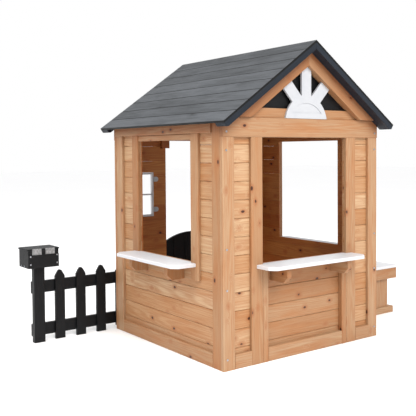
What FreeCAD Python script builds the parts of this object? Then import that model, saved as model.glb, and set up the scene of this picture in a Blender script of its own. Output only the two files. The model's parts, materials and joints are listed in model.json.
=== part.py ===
import FreeCAD, Part
import math
import os

# Timber playhouse with two serving windows, a half door, a picket fence with a mailbox and a small bench.
# Lengths are millimetres. +X runs along the front gable, +Y from the front to the door wall, +Z up.
# The model is drawn from the front left corner of the house and then moved, so that the row's origin is
# the middle of the underside of the whole object.

Vector = FreeCAD.Vector

# ---- house ----
HOUSE_WIDTH = 990.0
HOUSE_DEPTH = 945.0
BEAM_BOTTOM = 1010.0
BEAM_HEIGHT = 87.0
FRAME_BOARD = 20.0
SIDING_BOARD = 12.0
SIDING_SETBACK = 16.0
SIDING_PITCH = 81.0
SIDING_LIFT = 6.0
SIDING_GROOVE = 3.0
SHORTEST_COURSE = 16.0
BOARD_GAP = 0.4
EASE = 2.5
CORNER_STILE = 64.0
SIDE_STILE = 60.0
BOTTOM_RAIL = 64.0
BEAM_PROUD = 2.0
FRIEZE_PROUD = 5.0

# ---- front wall ----
FRONT_OPENING = 540.0
WINDOW_STILE = 66.0
SHELF_TOP = 444.0
SHELF_BOARD = 16.0
SHELF_CLIP = 28.0
FRONT_SHELF_LENGTH = 614.0
FRONT_SHELF_REACH = 107.0
COUNTER_BOARD = 24.0
COUNTER_BATTEN = 32.0
BRACKET_REACH = 90.0
BRACKET_DROP = 66.0
BRACKET_CLIP = 25.0
BRACKET_BOARD = 25.0
FRONT_BRACKET_SPACING = 415.0

# ---- side walls ----
SIDE_OPENING = 462.0
SIDE_TRIM = 58.0
SIDE_TRIM_BOTTOM = 365.0
FRIEZE_BOTTOM = 1030.0
SIDE_HEADER = 28.0
HEADER_SETBACK = 5.0
SIDE_SHELF_LENGTH = 540.0
SIDE_SHELF_REACH = 120.0
SIDE_BRACKET_SPACING = 344.0
SILL_REACH = 34.0
LEDGE_HEIGHT = 26.0
LEDGE_SETBACK = 10.0

# ---- door wall ----
DOORWAY = 374.0
DOOR_STILE = 70.0
DOOR_LAP = 15.0
DOOR_BOARD = 18.0
DOOR_BOTTOM = 30.0
DOOR_TOP = 488.0
DOOR_ARCH_RADIUS = 340.0
DOOR_BOARD_COUNT = 5
DOOR_LEDGE = 62.0
DOOR_LEDGE_BOARD = 15.0
DOOR_GAP = 1.0
STOP_BLOCK = 48.0
STOP_BLOCK_LAP = 33.0
STOP_BLOCK_BOARD = 18.0
STOP_BLOCK_HEIGHT = 42.0

# ---- small window beside the door ----
SMALL_WINDOW_LEFT = 85.0
SMALL_WINDOW_WIDTH = 142.0
SMALL_WINDOW_BOTTOM = 594.0
SMALL_WINDOW_HEIGHT = 242.0
SMALL_WINDOW_BAR = 10.0
SMALL_WINDOW_GAP = 1.0
SMALL_WINDOW_PROUD = 2.0
MULLION = 8.0
TAB_LENGTH = 30.0
TAB_WIDTH = 26.0
TAB_BOARD = 4.0
TAB_INSET = 37.0

# ---- gables and sunburst ----
RAFTER_DEPTH = 58.0
RAFTER_PROUD = 20.0
GABLE_TRIM = 44.0
TRIM_SETBACK = 8.0
SUNBURST_BOARD = 10.0
SUNBURST_RADIUS = 134.0
SUNBURST_SINK = 24.0
SUNBURST_RELIEF = 3.0
RELIEF_RADIUS = 124.0
RELIEF_SINK = 51.0
RELIEF_BASE = 26.0
RAY_WIDTH = 60.0
RAY_ANGLE = 43.0
RAY_AXIS_HEIGHT = 25.0

# ---- roof ----
ROOF_PITCH = 35.0
ROOF_OVER_WALL = 11.0
ROOF_BOARD = 10.0
ROOF_COURSES = 8
ROOF_GROOVE = 1.6
ROOF_SIDE_OVERHANG = 47.0
ROOF_END_OVERHANG = 68.0
INNER_BATTEN_WIDTH = 65.0
ROOF_BATTEN_DEPTH = 24.0
ROOF_BATTEN_END_CUT = 7.0
INNER_BATTEN_START = 70.0
INNER_BATTEN_SPACING = 300.0

# ---- fence ----
POST_WIDTH = 56.5
POST_DEPTH = 30.0
POST_LEFT = -467.0
PICKET_WIDTH = 51.0
PICKET_BOARD = 15.0
PICKET_HEIGHT = 352.0
PICKET_PITCH = 117.2
PICKET_COUNT = 3
PICKET_FIRST_GAP = 61.8
PICKET_TIP_RADIUS = 11.0
PICKET_SHOULDER = 32.0
FENCE_RAIL_BOARD = 18.0
FENCE_RAIL_BOTTOMS = (28.0, 243.0)
FENCE_RAIL_HEIGHT = 60.0
CLEAT_WIDTH = 40.0
CLEAT_CLEARANCE = 12.0

# ---- mailbox ----
MAILBOX_WIDTH = 158.5
MAILBOX_DEPTH = 116.0
MAILBOX_HEIGHT = 86.5
MAILBOX_BOARD = 9.0
MAILBOX_SIDE_OFFSET = 50.0
MAILBOX_BEHIND_POST = 35.0
MAILBOX_FLOOR = 383.0
LID_BOARD = 8.0
LID_LIP = 5.0
LID_GAP = 0.6
LID_SETBACK = 0.5
FRONT_PLATE_HEIGHT = 65.0
FRONT_PLATE_BOARD = 5.0
LABEL_WIDTH = 48.0
LABEL_HEIGHT = 30.0
LABEL_BOARD = 2.0
LABEL_RIBS = 4
RIB_HEIGHT = 2.8
PLATE_SCREW_INSET = 10.5
PLATE_SCREW_HEIGHTS = (20.0, 59.0)
END_SCREW_DEPTHS = (27.0, 66.0)
END_SCREW_HEIGHT = 8.0

# ---- hinges ----
PIN_RADIUS = 3.0
PIN_CLEARANCE = 0.05
KNUCKLE_WALL = 2.5
LEAF_BOARD = 2.0
LEAF_REACH = 34.0
KNUCKLE_LENGTH = 14.0
KNUCKLE_GAP = 0.5
DOOR_HINGE_HEIGHTS = (105.0, 350.0)
LID_PIN_RADIUS = 1.5
LID_KNUCKLE_WALL = 1.2
LID_LEAF_BOARD = 1.2
LID_LEAF_REACH = 14.0
LID_KNUCKLE_LENGTH = 9.0
LID_HINGE_INSET = 34.0

# ---- screws ----
SCREW_RADIUS = 4.5
SMALL_SCREW_RADIUS = 3.5
SCREW_HEAD = 1.5
SCREW_SOCKET = 1.6
CORNER_SCREW_HEIGHTS = (49.0, 349.0, 526.0, 953.0)
CORNER_SCREW_INSET = 20.0
BEAM_SCREW_RISE = 23.0

# ---- bench ----
BENCH_CENTRE = 1374.0
BENCH_FRONT = 281.0
BENCH_LENGTH = 540.0
SEAT_WIDTH = 256.0
SEAT_BOARD = 15.0
SEAT_LENGTH_LIP = 6.0
APRON_LENGTH = 252.0
APRON_HEIGHT = 62.0
APRON_BOARD = 20.0
BENCH_TOP = 278.0
LEG_WIDTH = 141.0
LEG_BOARD = 20.0
FOOT_LENGTH = 218.0
FOOT_HEIGHT = 36.0
FOOT_BOARD = 40.0
STRETCHER_HEIGHT = 44.0
STRETCHER_BOARD = 20.0

# ---- values that follow from the sizes above ----
WALL_TOP = BEAM_BOTTOM + BEAM_HEIGHT
SHELF_BOTTOM = SHELF_TOP - SHELF_BOARD
WALL_THICKNESS = SIDING_SETBACK + SIDING_BOARD
MIDDLE_X = HOUSE_WIDTH / 2
MIDDLE_Y = HOUSE_DEPTH / 2
SLOPE = math.radians(ROOF_PITCH)
ROOF_HALF_SPAN = MIDDLE_X + ROOF_SIDE_OVERHANG
ROOF_LENGTH = ROOF_HALF_SPAN / math.cos(SLOPE)
RIDGE_TOP = WALL_TOP + ROOF_OVER_WALL + MIDDLE_X * math.tan(SLOPE)
EAVE_TOP = RIDGE_TOP - ROOF_HALF_SPAN * math.tan(SLOPE)
FAR = 4000.0


# ---------------------------------------------------------------- basic solids
def prism(points, direction):
    """The solid swept by a flat outline along a direction."""
    wire = Part.makePolygon(points + [points[0]])
    return Part.Face(wire).extrude(direction)


def box(low, high):
    """A box between two corners."""
    size = [b - a for a, b in zip(low, high)]
    return Part.makeBox(size[0], size[1], size[2], Vector(*low))


def eased(a0, a1, b0, b1, ease=EASE):
    """A rectangle a0..a1 by b0..b1 whose two corners on the b0 side are bevelled."""
    step = ease if b1 > b0 else -ease
    return [
        (a0 + ease, b0),
        (a1 - ease, b0),
        (a1, b0 + step),
        (a1, b1),
        (a0, b1),
        (a0, b0 + step),
    ]


def swapped(outline):
    """The same outline with its two coordinates exchanged."""
    return [(b, a) for a, b in outline]


class Wall:
    """The axes of one wall: u along it, v inwards from its outer face, z up."""

    def __init__(self, origin, along, inward):
        self.origin = origin
        self.along = along
        self.inward = inward

    def point(self, u, v, z):
        return self.origin + self.along * u + self.inward * v + Vector(0, 0, z)

    def upright(self, outline, z0, z1):
        """A prism with a (u, v) outline that stands from z0 to z1."""
        return prism([self.point(u, v, z0) for u, v in outline], Vector(0, 0, z1 - z0))

    def level(self, outline, u0, u1):
        """A prism with a (v, z) outline that runs from u0 to u1."""
        return prism([self.point(u0, v, z) for v, z in outline], self.along * (u1 - u0))

    def flat(self, outline, v0, v1):
        """A prism with a (u, z) outline that is v0 to v1 deep."""
        return prism([self.point(u, v0, z) for u, z in outline], self.inward * (v1 - v0))

    def upright_board(self, u0, u1, z0, z1, v0, v1):
        return self.upright(eased(u0, u1, v0, v1), z0, z1)

    def level_board(self, u0, u1, z0, z1, v0, v1):
        return self.level(swapped(eased(z0, z1, v0, v1)), u0, u1)

    def block(self, u0, u1, z0, z1, v0, v1):
        return self.flat([(u0, z0), (u1, z0), (u1, z1), (u0, z1)], v0, v1)

    def screw(self, u, v, z, radius):
        """A flush screw head at depth v with a cross recess, facing out of the wall."""
        outward = self.inward * -1
        head = Part.makeCylinder(radius, SCREW_HEAD, self.point(u, v, z), outward)
        half = SCREW_SOCKET / 2
        reach = radius * 0.6
        top = v - SCREW_HEAD
        cut = self.block(u - half, u + half, z - reach, z + reach, top - 1, top + SCREW_HEAD / 2)
        cross = self.block(u - reach, u + reach, z - half, z + half, top - 1, top + SCREW_HEAD / 2)
        return head.cut(cut.fuse(cross))


FRONT = Wall(Vector(0, 0, 0), Vector(1, 0, 0), Vector(0, 1, 0))
BACK = Wall(Vector(0, HOUSE_DEPTH, 0), Vector(1, 0, 0), Vector(0, -1, 0))
LEFT = Wall(Vector(0, 0, 0), Vector(0, 1, 0), Vector(1, 0, 0))
RIGHT = Wall(Vector(HOUSE_WIDTH, 0, 0), Vector(0, 1, 0), Vector(-1, 0, 0))


def solids(shapes):
    """Every solid of the given shapes, in order."""
    return [solid for shape in shapes for solid in shape.Solids]


def mirrored(low, high, total):
    """A stretch and its mirror image on a wall of that length."""
    return [(low, high), (total - high, total - low)]


# ---------------------------------------------------------------- roof surfaces
def roof_height(x, drop):
    """Height over x of the plane that lies drop below the roof's top, measured square to it."""
    return RIDGE_TOP - abs(x - MIDDLE_X) * math.tan(SLOPE) - drop / math.cos(SLOPE)


def under_roof(shape, drop):
    """The part of a shape that is below that plane."""
    edge = -HOUSE_WIDTH
    low = roof_height(edge, drop)
    top = roof_height(MIDDLE_X, drop)
    far_edge = HOUSE_WIDTH - edge
    outline = [(edge, -FAR), (far_edge, -FAR), (far_edge, low), (MIDDLE_X, top), (edge, low)]
    room = prism([Vector(x, -FAR, z) for x, z in outline], Vector(0, 2 * FAR, 0))
    return shape.common(room)


def slope_point(side, along, drop, y):
    """A point on a roof slope: along from the eave, drop below the top, on side -1 or +1."""
    out = ROOF_HALF_SPAN - along * math.cos(SLOPE) - drop * math.sin(SLOPE)
    return Vector(MIDDLE_X + side * out, y, EAVE_TOP + along * math.sin(SLOPE) - drop * math.cos(SLOPE))


# ---------------------------------------------------------------- siding
def course_edges(z0, z1):
    """The heights where one siding board ends and the next begins."""
    edges = [z0]
    joint = SIDING_LIFT + SIDING_PITCH
    while joint < z1 - SHORTEST_COURSE:
        if joint > z0 + SHORTEST_COURSE:
            edges.append(joint)
        joint += SIDING_PITCH
    return edges + [z1]


def siding(wall, u0, u1, z0, z1, v0, holes=()):
    """Level boards with a V groove at each joint, cut away at the holes."""
    edges = course_edges(z0, z1)
    boards = []
    for low, high in zip(edges, edges[1:]):
        bottom, top = low + BOARD_GAP / 2, high - BOARD_GAP / 2
        outline = swapped(eased(bottom, top, v0, v0 + SIDING_BOARD, SIDING_GROOVE))
        board = wall.level(outline, u0, u1)
        for hole in holes:
            board = board.cut(hole)
        boards.append(board)
    return solids(boards)


def siding_room(wall, u0, u1, holes=()):
    """The space behind the face of the siding, which is cut out of the frame boards' backs."""
    room = wall.block(u0, u1, SIDING_LIFT, WALL_TOP, SIDING_SETBACK, WALL_THICKNESS)
    for hole in holes:
        room = room.cut(hole)
    return room


def rebated(boards, room):
    """The boards with that room cut out of their backs."""
    return solids([board.cut(room) for board in boards])


def side_hole():
    """The low and high ends of a side wall's opening."""
    return MIDDLE_Y - SIDE_OPENING / 2, MIDDLE_Y + SIDE_OPENING / 2


def front_hole():
    return MIDDLE_X - FRONT_OPENING / 2, MIDDLE_X + FRONT_OPENING / 2


def door_hole():
    return MIDDLE_X - DOORWAY / 2, MIDDLE_X + DOORWAY / 2


def front_openings():
    low, high = front_hole()
    return [FRONT.block(low, high, -1, BEAM_BOTTOM, 0, 2 * WALL_THICKNESS)]


def back_openings():
    low, high = door_hole()
    doorway = BACK.block(low, high, -1, BEAM_BOTTOM, 0, 2 * WALL_THICKNESS)
    window = BACK.block(
        SMALL_WINDOW_LEFT,
        SMALL_WINDOW_LEFT + SMALL_WINDOW_WIDTH,
        SMALL_WINDOW_BOTTOM,
        SMALL_WINDOW_BOTTOM + SMALL_WINDOW_HEIGHT,
        0,
        2 * WALL_THICKNESS,
    )
    return [doorway, window]


def side_openings(wall):
    low, high = side_hole()
    header = FRIEZE_BOTTOM - SIDE_HEADER
    return [wall.block(low, high, SHELF_TOP, header, 0, 2 * WALL_THICKNESS)]


def gable_openings(wall):
    return front_openings() if wall is FRONT else back_openings()


def gable_siding(wall):
    ends = WALL_THICKNESS, HOUSE_WIDTH - WALL_THICKNESS
    return siding(wall, *ends, SIDING_LIFT, WALL_TOP, SIDING_SETBACK, gable_openings(wall))


def gable_room(wall):
    return siding_room(wall, WALL_THICKNESS, HOUSE_WIDTH - WALL_THICKNESS, gable_openings(wall))


def side_siding(wall):
    ends = FRAME_BOARD, HOUSE_DEPTH - FRAME_BOARD
    boards = siding(wall, *ends, SIDING_LIFT, WALL_TOP, SIDING_SETBACK, side_openings(wall))
    return solids([under_roof(board, ROOF_BOARD + BOARD_GAP) for board in boards])


def side_room(wall):
    return siding_room(wall, FRAME_BOARD, HOUSE_DEPTH - FRAME_BOARD, side_openings(wall))


# ---------------------------------------------------------------- front wall
def corner_stiles(wall):
    boards = [
        wall.upright_board(u0, u1, 0, BEAM_BOTTOM, 0, FRAME_BOARD)
        for u0, u1 in mirrored(0, CORNER_STILE, HOUSE_WIDTH)
    ]
    return rebated(boards, gable_room(wall))


def opening_stiles(wall, opening, width):
    """The two stiles beside an opening in a gable wall."""
    edge = (HOUSE_WIDTH - opening) / 2
    boards = [
        wall.upright_board(u0, u1, 0, BEAM_BOTTOM, 0, FRAME_BOARD)
        for u0, u1 in mirrored(edge - width, edge, HOUSE_WIDTH)
    ]
    return rebated(boards, gable_room(wall))


def gable_bottom_rails(wall, opening, stile):
    end = (HOUSE_WIDTH - opening) / 2 - stile
    boards = [
        wall.level_board(u0, u1, 0, BOTTOM_RAIL, 0, FRAME_BOARD)
        for u0, u1 in mirrored(CORNER_STILE, end, HOUSE_WIDTH)
    ]
    return rebated(boards, gable_room(wall))


def front_bottom_rails():
    low, high = front_hole()
    counter = FRONT.level_board(low + COUNTER_BATTEN, high - COUNTER_BATTEN, 0, BOTTOM_RAIL, 0, COUNTER_BOARD)
    return gable_bottom_rails(FRONT, FRONT_OPENING, WINDOW_STILE) + [counter]


def counter_battens():
    low, high = front_hole()
    return [
        FRONT.upright_board(u0, u1, 0, SHELF_BOTTOM, 0, COUNTER_BOARD)
        for u0, u1 in mirrored(low, low + COUNTER_BATTEN, HOUSE_WIDTH)
    ]


def counter_siding():
    low, high = front_hole()
    return siding(FRONT, low, high, SIDING_LIFT, SHELF_TOP, COUNTER_BOARD)


def clipped_shelf(wall, middle, length, reach, opening, depth):
    """A shelf with two clipped outer corners, whose inner part fits into the opening to that depth."""
    u0 = middle - length / 2
    u1 = middle + length / 2
    in0 = opening[0]
    in1 = opening[1]
    outline = [
        (u0, 0),
        (u0, SHELF_CLIP - reach),
        (u0 + SHELF_CLIP, -reach),
        (u1 - SHELF_CLIP, -reach),
        (u1, SHELF_CLIP - reach),
        (u1, 0),
        (in1, 0),
        (in1, depth),
        (in0, depth),
        (in0, 0),
    ]
    shelf = wall.upright(outline, SHELF_BOTTOM, SHELF_TOP)
    top_edges = [edge for edge in shelf.Edges if abs(edge.CenterOfMass.z - SHELF_TOP) < 0.01]
    rim = [edge for edge in top_edges if on_rim(wall, edge, outline)]
    return [shelf.makeChamfer(EASE, rim)]


def on_rim(wall, edge, outline):
    """True for the edges of a shelf's three outer sides and their clips."""
    outer = [wall.point(u, v, SHELF_TOP) for u, v in outline[:6]]
    middles = [(a + b) * 0.5 for a, b in zip(outer, outer[1:])]
    return any((edge.CenterOfMass - middle).Length < 0.01 for middle in middles)


def front_shelf():
    hole = front_hole()
    return clipped_shelf(FRONT, MIDDLE_X, FRONT_SHELF_LENGTH, FRONT_SHELF_REACH, hole, COUNTER_BOARD)


def brackets(wall, middle, spacing, root):
    """Two shelf brackets with a clipped toe; root is the depth where they meet the wall."""
    toe = SHELF_BOTTOM - BRACKET_DROP
    outline = [
        (root, SHELF_BOTTOM),
        (-BRACKET_REACH, SHELF_BOTTOM),
        (-BRACKET_REACH, toe + BRACKET_CLIP),
        (BRACKET_CLIP - BRACKET_REACH, toe),
        (root, toe),
    ]
    starts = [middle - spacing / 2, middle + spacing / 2 - BRACKET_BOARD]
    return [wall.level(outline, start, start + BRACKET_BOARD) for start in starts]


def front_brackets():
    return brackets(FRONT, MIDDLE_X, FRONT_BRACKET_SPACING, COUNTER_BOARD)


# ---------------------------------------------------------------- gables
def gable_beam(wall):
    beam = wall.level_board(0, HOUSE_WIDTH, BEAM_BOTTOM, WALL_TOP, -BEAM_PROUD, FRAME_BOARD)
    return rebated([under_roof(beam, ROOF_BOARD + BOARD_GAP)], gable_room(wall))


def gable_triangle(wall, drop, base, v0, v1):
    """The triangle between a level base and the plane that is drop below the roof's top."""
    half = (roof_height(MIDDLE_X, drop) - base) / math.tan(SLOPE)
    peak = base + half * math.tan(SLOPE)
    return wall.flat([(MIDDLE_X - half, base), (MIDDLE_X + half, base), (MIDDLE_X, peak)], v0, v1)


def inner_drop():
    """Depth below the roof's top of the rafters' lower edges."""
    return ROOF_BOARD + ROOF_BATTEN_DEPTH + RAFTER_DEPTH


def gable_rafters(wall):
    """Two rafters that meet at a plumb cut under the ridge and stand on the beam."""
    outer = gable_triangle(wall, ROOF_BOARD + ROOF_BATTEN_DEPTH, WALL_TOP, -RAFTER_PROUD, FRAME_BOARD)
    inner = gable_triangle(wall, inner_drop(), WALL_TOP, -RAFTER_PROUD, FRAME_BOARD)
    pair = outer.cut(inner)
    half = BOARD_GAP / 2
    left = wall.block(-FAR, MIDDLE_X - half, 0, FAR, -FAR / 2, FAR / 2)
    right = wall.block(MIDDLE_X + half, FAR, 0, FAR, -FAR / 2, FAR / 2)
    return solids([pair.common(left), pair.common(right)])


def gable_trim(wall):
    """The level board on the beam, between the rafters."""
    trim = wall.block(0, HOUSE_WIDTH, WALL_TOP, WALL_TOP + GABLE_TRIM, TRIM_SETBACK, FRAME_BOARD)
    return solids([under_roof(trim, inner_drop() + BOARD_GAP)])


def gable_panel(wall):
    """The panel behind the trim and the rafters, between the two eave friezes."""
    back = FRAME_BOARD + SIDING_BOARD
    panel = gable_triangle(wall, ROOF_BOARD + BOARD_GAP, WALL_TOP, FRAME_BOARD, back)
    between = wall.block(FRAME_BOARD, HOUSE_WIDTH - FRAME_BOARD, 0, FAR, 0, back)
    return [panel.common(between)]


def sunburst_front():
    """Depth of the sunburst's front face: it lies on the gable trim."""
    return TRIM_SETBACK - SUNBURST_BOARD


def ray(angle):
    """One ray of the sunburst, turned about a point above the middle of its base."""
    front = sunburst_front()
    half = RAY_WIDTH / 2
    hub_z = WALL_TOP + RAY_AXIS_HEIGHT
    left, right = MIDDLE_X - half, MIDDLE_X + half
    outline = [(left, hub_z), (right, hub_z), (right, FAR), (left, FAR)]
    bar = FRONT.flat(outline, front, front + SUNBURST_BOARD)
    bar.rotate(Vector(MIDDLE_X, 0, hub_z), Vector(0, 1, 0), angle)
    return bar


def sunburst():
    """A half disc with a sunk relief and three rays that reach the rafters."""
    front = sunburst_front()
    centre = Vector(MIDDLE_X, front, WALL_TOP - SUNBURST_SINK)
    disc = Part.makeCylinder(SUNBURST_RADIUS, SUNBURST_BOARD, centre, Vector(0, 1, 0))
    plate = disc
    for angle in (-RAY_ANGLE, 0, RAY_ANGLE):
        plate = plate.fuse(ray(angle))
    room = gable_triangle(FRONT, inner_drop() + BOARD_GAP, WALL_TOP + BOARD_GAP, front, front + SUNBURST_BOARD)
    plate = plate.common(room)
    relief_centre = Vector(MIDDLE_X, front, WALL_TOP - RELIEF_SINK)
    relief_disc = Part.makeCylinder(RELIEF_RADIUS, SUNBURST_RELIEF, relief_centre, Vector(0, 1, 0))
    relief_room = FRONT.block(0, HOUSE_WIDTH, WALL_TOP + RELIEF_BASE, FAR, front, front + SUNBURST_RELIEF)
    return [plate.removeSplitter().cut(relief_disc.common(relief_room))]


# ---------------------------------------------------------------- side walls
def side_stiles():
    """The stile nearest the front goes up to the roof, and the frieze covers the far one's top."""
    boards = []
    for wall in (LEFT, RIGHT):
        tall, short = mirrored(FRAME_BOARD, FRAME_BOARD + SIDE_STILE, HOUSE_DEPTH)
        high = wall.upright_board(*tall, 0, WALL_TOP + FRAME_BOARD, 0, FRAME_BOARD)
        low = wall.upright_board(*short, 0, FRIEZE_BOTTOM, 0, FRAME_BOARD)
        boards += rebated([under_roof(high, ROOF_BOARD + BOARD_GAP), low], side_room(wall))
    return boards


def side_bottom_rails():
    """Bottom rails with a lower step behind their top edge."""
    outline = [
        (EASE, 0),
        (0, EASE),
        (0, BOTTOM_RAIL - EASE),
        (EASE, BOTTOM_RAIL),
        (LEDGE_SETBACK, BOTTOM_RAIL),
        (LEDGE_SETBACK, BOTTOM_RAIL + LEDGE_HEIGHT - EASE),
        (LEDGE_SETBACK + EASE, BOTTOM_RAIL + LEDGE_HEIGHT),
        (FRAME_BOARD, BOTTOM_RAIL + LEDGE_HEIGHT),
        (FRAME_BOARD, 0),
    ]
    end = FRAME_BOARD + SIDE_STILE
    rails = []
    for wall in (LEFT, RIGHT):
        rails += rebated([wall.level(outline, end, HOUSE_DEPTH - end)], side_room(wall))
    return rails


def side_window_trims():
    low, high = side_hole()
    boards = []
    for wall in (LEFT, RIGHT):
        pair = [
            wall.upright_board(u0, u1, SIDE_TRIM_BOTTOM, FRIEZE_BOTTOM, 0, FRAME_BOARD)
            for u0, u1 in mirrored(low - SIDE_TRIM, low, HOUSE_DEPTH)
        ]
        boards += rebated(pair, side_room(wall))
    return boards


def side_headers():
    low, high = side_hole()
    bottom = FRIEZE_BOTTOM - SIDE_HEADER
    return [
        wall.level_board(low, high, bottom, FRIEZE_BOTTOM, HEADER_SETBACK, SIDING_SETBACK) for wall in (LEFT, RIGHT)
    ]


def side_sill_rails():
    low, high = side_hole()
    return [
        wall.level_board(low, high, SIDE_TRIM_BOTTOM, SHELF_BOTTOM, HEADER_SETBACK, SIDING_SETBACK)
        for wall in (LEFT, RIGHT)
    ]


def eave_friezes():
    """Level boards under the eaves, from the tall front stile to the back beam."""
    start = FRAME_BOARD + SIDE_STILE
    end = HOUSE_DEPTH - FRAME_BOARD
    boards = []
    for wall in (LEFT, RIGHT):
        board = wall.level_board(start, end, FRIEZE_BOTTOM, WALL_TOP + FRAME_BOARD, -FRIEZE_PROUD, FRAME_BOARD)
        boards += rebated([under_roof(board, ROOF_BOARD + BOARD_GAP)], side_room(wall))
    return boards


def left_shelf():
    return clipped_shelf(LEFT, MIDDLE_Y, SIDE_SHELF_LENGTH, SIDE_SHELF_REACH, side_hole(), SIDING_SETBACK)


def left_brackets():
    return brackets(LEFT, MIDDLE_Y, SIDE_BRACKET_SPACING, HEADER_SETBACK)


def right_sill():
    low, high = side_hole()
    return [RIGHT.level_board(low, high, SHELF_BOTTOM, SHELF_TOP, -SILL_REACH, SIDING_SETBACK)]


# ---------------------------------------------------------------- small window
def window_bounds():
    """Left, right, bottom and top of the small window's frame."""
    left = SMALL_WINDOW_LEFT + SMALL_WINDOW_GAP
    right = SMALL_WINDOW_LEFT + SMALL_WINDOW_WIDTH - SMALL_WINDOW_GAP
    bottom = SMALL_WINDOW_BOTTOM + SMALL_WINDOW_GAP
    top = SMALL_WINDOW_BOTTOM + SMALL_WINDOW_HEIGHT - SMALL_WINDOW_GAP
    return left, right, bottom, top


def small_window():
    """Four mitred bars and one cross bar, a little thicker than the siding."""
    left, right, bottom, top = window_bounds()
    bar = SMALL_WINDOW_BAR
    v0 = SIDING_SETBACK - SMALL_WINDOW_PROUD
    v1 = WALL_THICKNESS + SMALL_WINDOW_PROUD
    x0, x1, z0, z1 = left + bar, right - bar, bottom + bar, top - bar
    inner = [(x0, z0), (x1, z0), (x1, z1), (x0, z1)]
    outer = [(left, bottom), (right, bottom), (right, top), (left, top)]
    bars = []
    for i in range(4):
        j = (i + 1) % 4
        bars.append(BACK.flat([outer[i], outer[j], inner[j], inner[i]], v0, v1))
    middle = (bottom + top) / 2
    cross = BACK.block(
        left + bar, right - bar, middle - MULLION / 2, middle + MULLION / 2, v0 + EASE, v1 - EASE
    )
    return bars + [cross]


def tab_places():
    """Middles of the tabs that hold the small window against the siding."""
    left, right, bottom, top = window_bounds()
    return [(right, bottom + TAB_INSET), (right, top - TAB_INSET)]


def window_tabs():
    """Flat tabs with one rounded end, screwed to the inside of the siding."""
    tabs = []
    for u, z in tab_places():
        plate = BACK.block(
            u + SMALL_WINDOW_GAP,
            u + TAB_LENGTH - TAB_WIDTH / 2,
            z - TAB_WIDTH / 2,
            z + TAB_WIDTH / 2,
            WALL_THICKNESS,
            WALL_THICKNESS + TAB_BOARD,
        )
        end = Part.makeCylinder(
            TAB_WIDTH / 2, TAB_BOARD, BACK.point(u + TAB_LENGTH - TAB_WIDTH / 2, WALL_THICKNESS, z), BACK.inward
        )
        tabs.append(plate.fuse(end).removeSplitter())
    return tabs


# ---------------------------------------------------------------- half door
def door_limits():
    low, high = door_hole()
    return low - DOOR_LAP, high + DOOR_LAP


def door_face():
    """y of the half door's inner face, just clear of the door wall."""
    return HOUSE_DEPTH + DOOR_GAP


def door_blank():
    """The half door as one piece, with its arched top."""
    low, high = door_limits()
    slab = box((low, door_face(), DOOR_BOTTOM), (high, door_face() + DOOR_BOARD, DOOR_TOP))
    centre = Vector(MIDDLE_X, door_face(), DOOR_TOP - DOOR_ARCH_RADIUS)
    arch = Part.makeCylinder(DOOR_ARCH_RADIUS, DOOR_BOARD, centre, Vector(0, 1, 0))
    lower = box((low, door_face(), DOOR_BOTTOM), (high, door_face() + DOOR_BOARD, DOOR_TOP - DOOR_ARCH_RADIUS))
    return slab.common(arch.fuse(lower))


def door_boards():
    """Upright boards with a V groove at each joint on both faces."""
    low, high = door_limits()
    width = (high - low) / DOOR_BOARD_COUNT
    y0 = door_face()
    y1 = door_face() + DOOR_BOARD
    blank = door_blank()
    boards = []
    for i in range(DOOR_BOARD_COUNT):
        a = low + i * width + BOARD_GAP / 2
        b = low + (i + 1) * width - BOARD_GAP / 2
        cut = EASE
        outline = [(a + cut, y0), (b - cut, y0), (b, y0 + cut), (b, y1 - cut), (b - cut, y1), (a + cut, y1)]
        outline += [(a, y1 - cut), (a, y0 + cut)]
        strip = prism([Vector(x, y, 0) for x, y in outline], Vector(0, 0, DOOR_TOP))
        boards.append(blank.common(strip))
    return solids(boards)


def door_ledges():
    """Level boards across the outside of the half door, one at each hinge."""
    low, high = door_limits()
    y0 = door_face() + DOOR_BOARD
    ledges = []
    for height in DOOR_HINGE_HEIGHTS:
        z0 = height - DOOR_LEDGE / 2
        outline = eased(z0, z0 + DOOR_LEDGE, y0 + DOOR_LEDGE_BOARD, y0)
        points = [Vector(low + EASE, y, z) for z, y in outline]
        ledges.append(prism(points, Vector(high - low - 2 * EASE, 0, 0)))
    return ledges


class Hinge:
    """A butt hinge: three knuckles in line from start, one leaf each side, and a pin."""

    def __init__(self, start, along, sizes):
        self.start = start
        self.along = along
        self.pin_radius, self.wall, self.leaf, self.reach, self.length = sizes
        self.outer = self.pin_radius + PIN_CLEARANCE + self.wall

    def knuckle(self, index):
        at = self.start + self.along * (index * (self.length + KNUCKLE_GAP))
        tube = Part.makeCylinder(self.outer, self.length, at, self.along)
        bore = Part.makeCylinder(self.pin_radius + PIN_CLEARANCE, self.length, at, self.along)
        return tube.cut(bore)

    def strap(self, index, direction, face):
        """The flat part of a leaf beside one knuckle; face points from the pin to the leaf's plane."""
        at = self.start + self.along * (index * (self.length + KNUCKLE_GAP))
        a = at + face * (self.outer - self.leaf)
        b = a + direction * self.reach
        points = [a, b, b + face * self.leaf, a + face * self.leaf]
        plate = prism(points, self.along * self.length)
        bore = Part.makeCylinder(self.pin_radius + PIN_CLEARANCE, self.length, at, self.along)
        return plate.cut(bore)

    def leaf_solid(self, indexes, direction, face):
        parts = []
        for index in indexes:
            parts.append(self.knuckle(index).fuse(self.strap(index, direction, face)))
        return parts

    def pin(self):
        total = 3 * self.length + 2 * KNUCKLE_GAP
        return Part.makeCylinder(self.pin_radius, total, self.start, self.along)


DOOR_HINGE_SIZES = (PIN_RADIUS, KNUCKLE_WALL, LEAF_BOARD, LEAF_REACH, KNUCKLE_LENGTH)
LID_HINGE_SIZES = (LID_PIN_RADIUS, LID_KNUCKLE_WALL, LID_LEAF_BOARD, LID_LEAF_REACH, LID_KNUCKLE_LENGTH)


def hinge_outer(sizes):
    """Outer radius of a hinge's knuckles."""
    return sizes[0] + PIN_CLEARANCE + sizes[1]


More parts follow.
